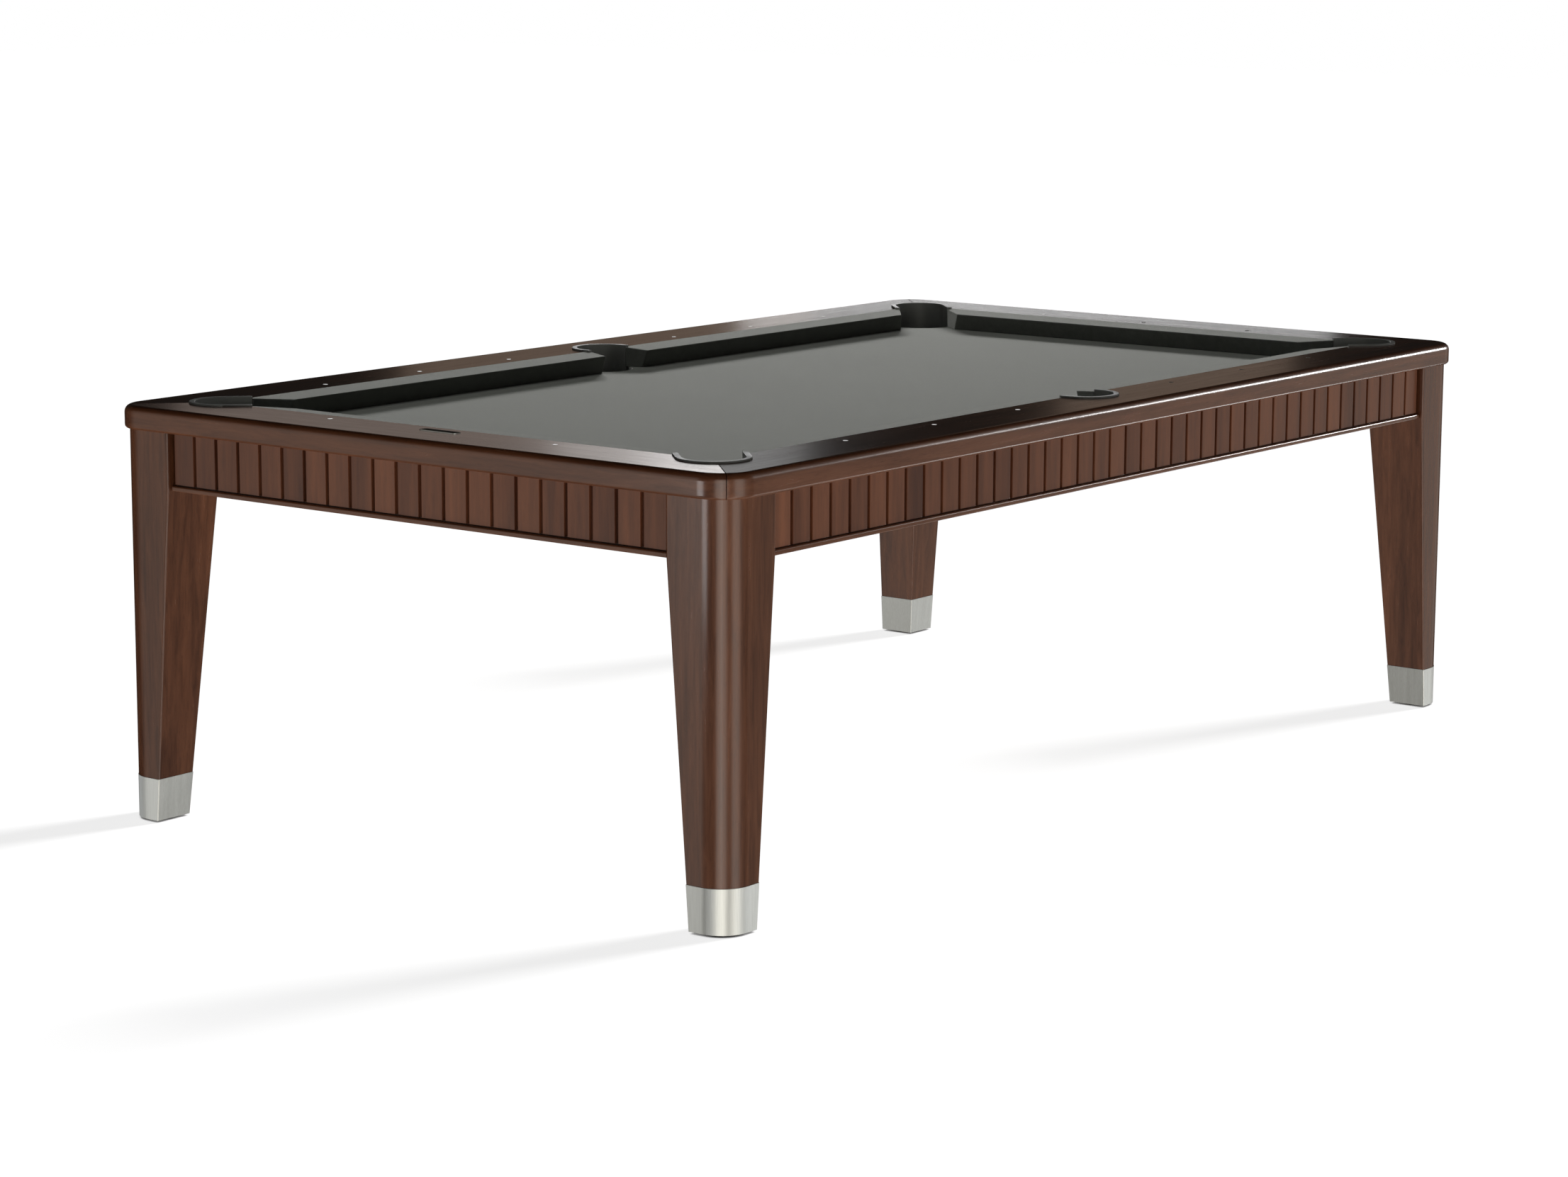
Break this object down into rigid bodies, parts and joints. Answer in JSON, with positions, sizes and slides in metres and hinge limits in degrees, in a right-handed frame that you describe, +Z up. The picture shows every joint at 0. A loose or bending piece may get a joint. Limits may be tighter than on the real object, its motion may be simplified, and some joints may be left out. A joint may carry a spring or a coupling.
{
  "type": "pool table",
  "caption": "Pool table with a cloth-covered slate bed, slatted wooden aprons, drop pockets and tapered wooden legs on brushed metal caps with levelling feet.",
  "frame": {"origin": "on the floor under the middle of the table", "axes": "+X along the table, towards the right end; +Y across it, towards the back; +Z up"},
  "size_m": [2.646, 1.5284, 0.8255],
  "materials": {
    "wood": "dark espresso stain under satin-gloss lacquer",
    "slat_wood": "dark espresso stain, satin, grain running up the slats",
    "frame_wood": "bare sawn softwood",
    "cap_steel": "brushed up the leg, satin",
    "foot_metal": "black, matt",
    "plate_metal": "brushed, satin",
    "bed_cloth": "napped worsted billiard cloth, charcoal grey",
    "cushion_cloth": "napped worsted billiard cloth over rubber, charcoal grey",
    "slate": "honed slate",
    "liner": "moulded, grey rim with a satin surface",
    "bucket": "black moulded, matt"
  },
  "bodies": {
    "table": {"rail_back": "wood", "rail_front": "wood", "rail_left": "wood", "rail_right": "wood", "cushion_back_right": "cushion_cloth", "cushion_back_left": "cushion_cloth", "cushion_front_left": "cushion_cloth", "cushion_front_right": "cushion_cloth", "cushion_left": "cushion_cloth", "cushion_right": "cushion_cloth", "liner_back_right": "liner", "bucket_back_right": "bucket", "liner_back_left": "liner", "bucket_back_left": "bucket", "liner_front_left": "liner", "bucket_front_left": "bucket", "liner_front_right": "liner", "bucket_front_right": "bucket", "liner_back_middle": "liner", "bucket_back_middle": "bucket", "liner_front_middle": "liner", "bucket_front_middle": "bucket", "slate_left": "slate", "slate_middle": "slate", "slate_right": "slate", "bed_cloth": "bed_cloth", "leg_back_right": "wood", "cap_back_right": "cap_steel", "leg_back_left": "wood", "cap_back_left": "cap_steel", "leg_front_left": "wood", "cap_front_left": "cap_steel", "leg_front_right": "wood", "cap_front_right": "cap_steel", "apron_back": "slat_wood", "ledge_back": "wood", "apron_front": "slat_wood", "ledge_front": "wood", "apron_left": "slat_wood", "ledge_left": "wood", "apron_right": "slat_wood", "ledge_right": "wood", "beam_back_left": "frame_wood", "beam_back_right": "frame_wood", "beam_front_left": "frame_wood", "beam_front_right": "frame_wood", "beam_left": "frame_wood", "beam_right": "frame_wood", "seam_beam_left": "frame_wood", "seam_beam_right": "frame_wood", "nameplate": "plate_metal"},
    "foot_back_right": {"foot_pad_back_right": "foot_metal"},
    "stem_back_right": {"foot_stem_back_right": "foot_metal"},
    "foot_back_left": {"foot_pad_back_left": "foot_metal"},
    "stem_back_left": {"foot_stem_back_left": "foot_metal"},
    "foot_front_left": {"foot_pad_front_left": "foot_metal"},
    "stem_front_left": {"foot_stem_front_left": "foot_metal"},
    "foot_front_right": {"foot_pad_front_right": "foot_metal"},
    "stem_front_right": {"foot_stem_front_right": "foot_metal"}
  },
  "joints": [
    {"name": "foot_back_right_height", "type": "slide", "parent": "table", "child": "foot_back_right", "axis": [0, 0, -1], "range_m": [0, 0.012]},
    {"name": "stem_back_right_turn", "type": "hinge", "parent": "foot_back_right", "child": "stem_back_right", "pos_m": [1.2685, 0.7097, 0.04], "axis": [0, 0, -1], "range_deg": [0, 2470]},
    {"name": "foot_back_left_height", "type": "slide", "parent": "table", "child": "foot_back_left", "axis": [0, 0, -1], "range_m": [0, 0.012]},
    {"name": "stem_back_left_turn", "type": "hinge", "parent": "foot_back_left", "child": "stem_back_left", "pos_m": [-1.2685, 0.7097, 0.04], "axis": [0, 0, -1], "range_deg": [0, 2470]},
    {"name": "foot_front_left_height", "type": "slide", "parent": "table", "child": "foot_front_left", "axis": [0, 0, -1], "range_m": [0, 0.012]},
    {"name": "stem_front_left_turn", "type": "hinge", "parent": "foot_front_left", "child": "stem_front_left", "pos_m": [-1.2685, -0.7097, 0.04], "axis": [0, 0, -1], "range_deg": [0, 2470]},
    {"name": "foot_front_right_height", "type": "slide", "parent": "table", "child": "foot_front_right", "axis": [0, 0, -1], "range_m": [0, 0.012]},
    {"name": "stem_front_right_turn", "type": "hinge", "parent": "foot_front_right", "child": "stem_front_right", "pos_m": [1.2685, -0.7097, 0.04], "axis": [0, 0, -1], "range_deg": [0, 2470]}
  ],
  "couplings": [
    {"joint": "stem_back_right_turn", "follows": "foot_back_right_height", "rad_per_m": 3590.4},
    {"joint": "stem_back_left_turn", "follows": "foot_back_left_height", "rad_per_m": 3590.4},
    {"joint": "stem_front_left_turn", "follows": "foot_front_left_height", "rad_per_m": 3590.4},
    {"joint": "stem_front_right_turn", "follows": "foot_front_right_height", "rad_per_m": 3590.4}
  ]
}
